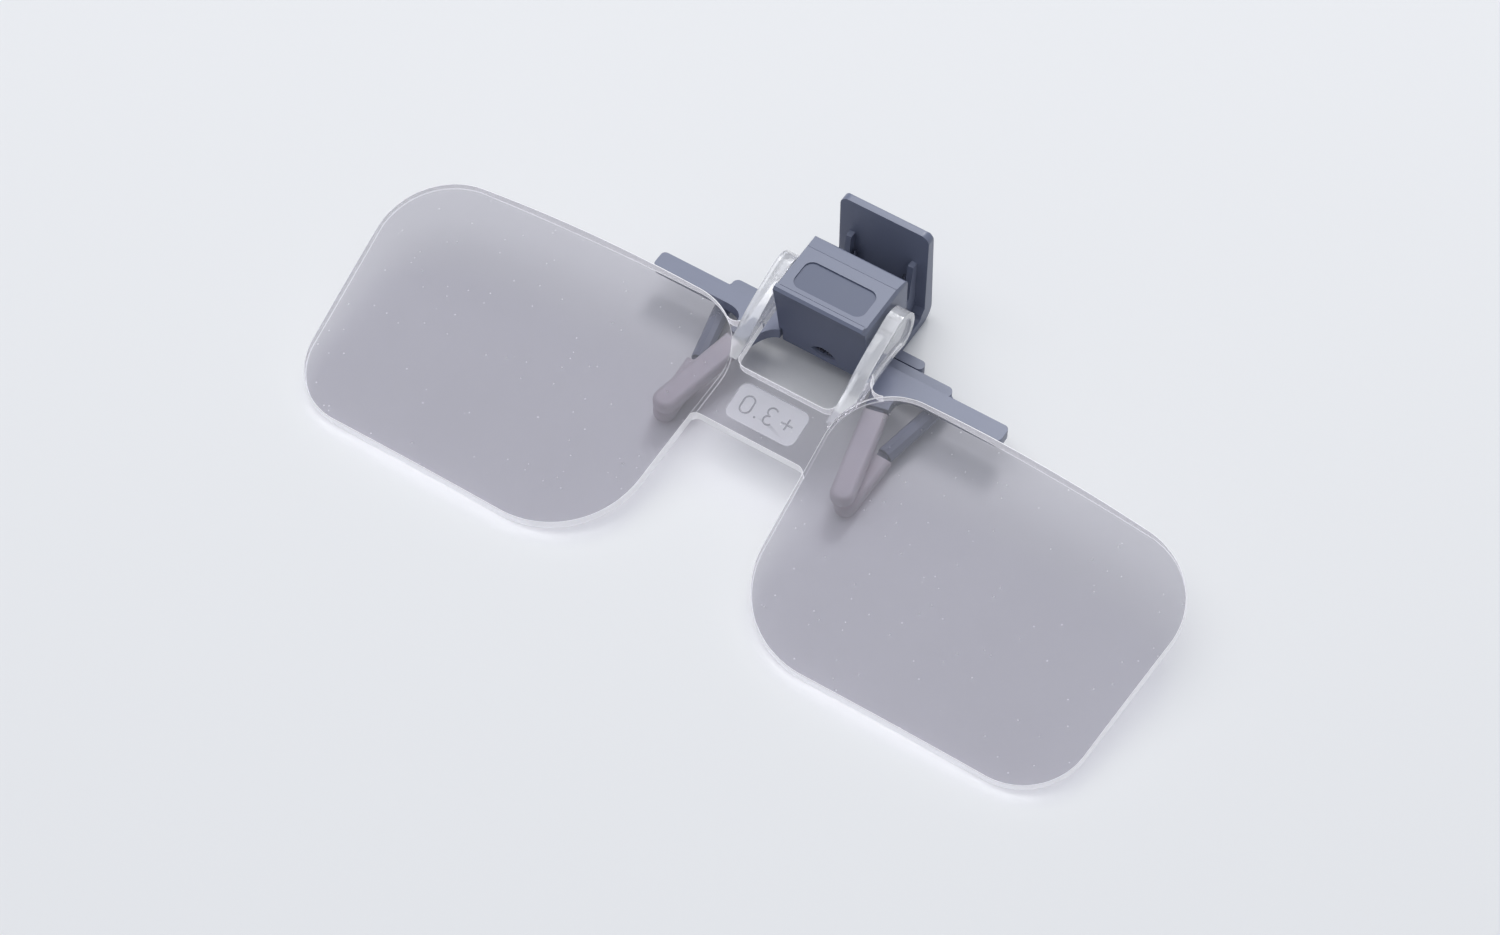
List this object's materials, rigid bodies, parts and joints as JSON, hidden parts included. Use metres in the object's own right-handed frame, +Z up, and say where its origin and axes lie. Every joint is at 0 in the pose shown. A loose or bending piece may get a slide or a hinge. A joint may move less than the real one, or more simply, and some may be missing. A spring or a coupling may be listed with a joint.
{
  "type": "clip-on flip magnifier",
  "caption": "Clip-on magnifier for spectacles: clear twin lenses with a bridge flip up on a grey sprung clip whose padded jaws hold the frame.",
  "frame": {"origin": "on the surface that the part lies on, under the middle of its width and depth", "axes": "+X along the lens pair to the right seen from the front, +Y from the lens bottoms to the thumb lever, +Z up out of the front side"},
  "size_m": [0.1182, 0.057, 0.0175],
  "materials": {
    "clear_acrylic": "clear, polished",
    "grey_plastic": "moulded blue-grey plastic, satin",
    "clear_rubber": "soft translucent sleeve",
    "bright_steel": "bright steel"
  },
  "bodies": {
    "clip": {"clip_body": "grey_plastic", "front_jaw": "grey_plastic", "jaw_screw": "bright_steel", "detent_leaf": "bright_steel", "lever_pin": "bright_steel", "torsion_spring": "bright_steel", "front_sleeve_left": "clear_rubber", "front_sleeve_right": "clear_rubber"},
    "lenses": {"lens_plate": "clear_acrylic", "flip_axle": "bright_steel"},
    "lever": {"thumb_lever": "grey_plastic", "rear_sleeve_left": "clear_rubber", "rear_sleeve_right": "clear_rubber"}
  },
  "joints": [
    {"name": "lens_flip", "type": "hinge", "parent": "clip", "child": "lenses", "pos_m": [0, 0.01591, 0.0114], "axis": [-1, 0, 0], "range_deg": [0, 95]},
    {"name": "lever_squeeze", "type": "hinge", "parent": "clip", "child": "lever", "pos_m": [0, 0.02371, 0.0039], "axis": [1, 0, 0], "range_deg": [0, 18], "stiffness_Nm_per_rad": 0.05, "springref_deg": -20.05, "deforming": ["torsion_spring"]}
  ]
}
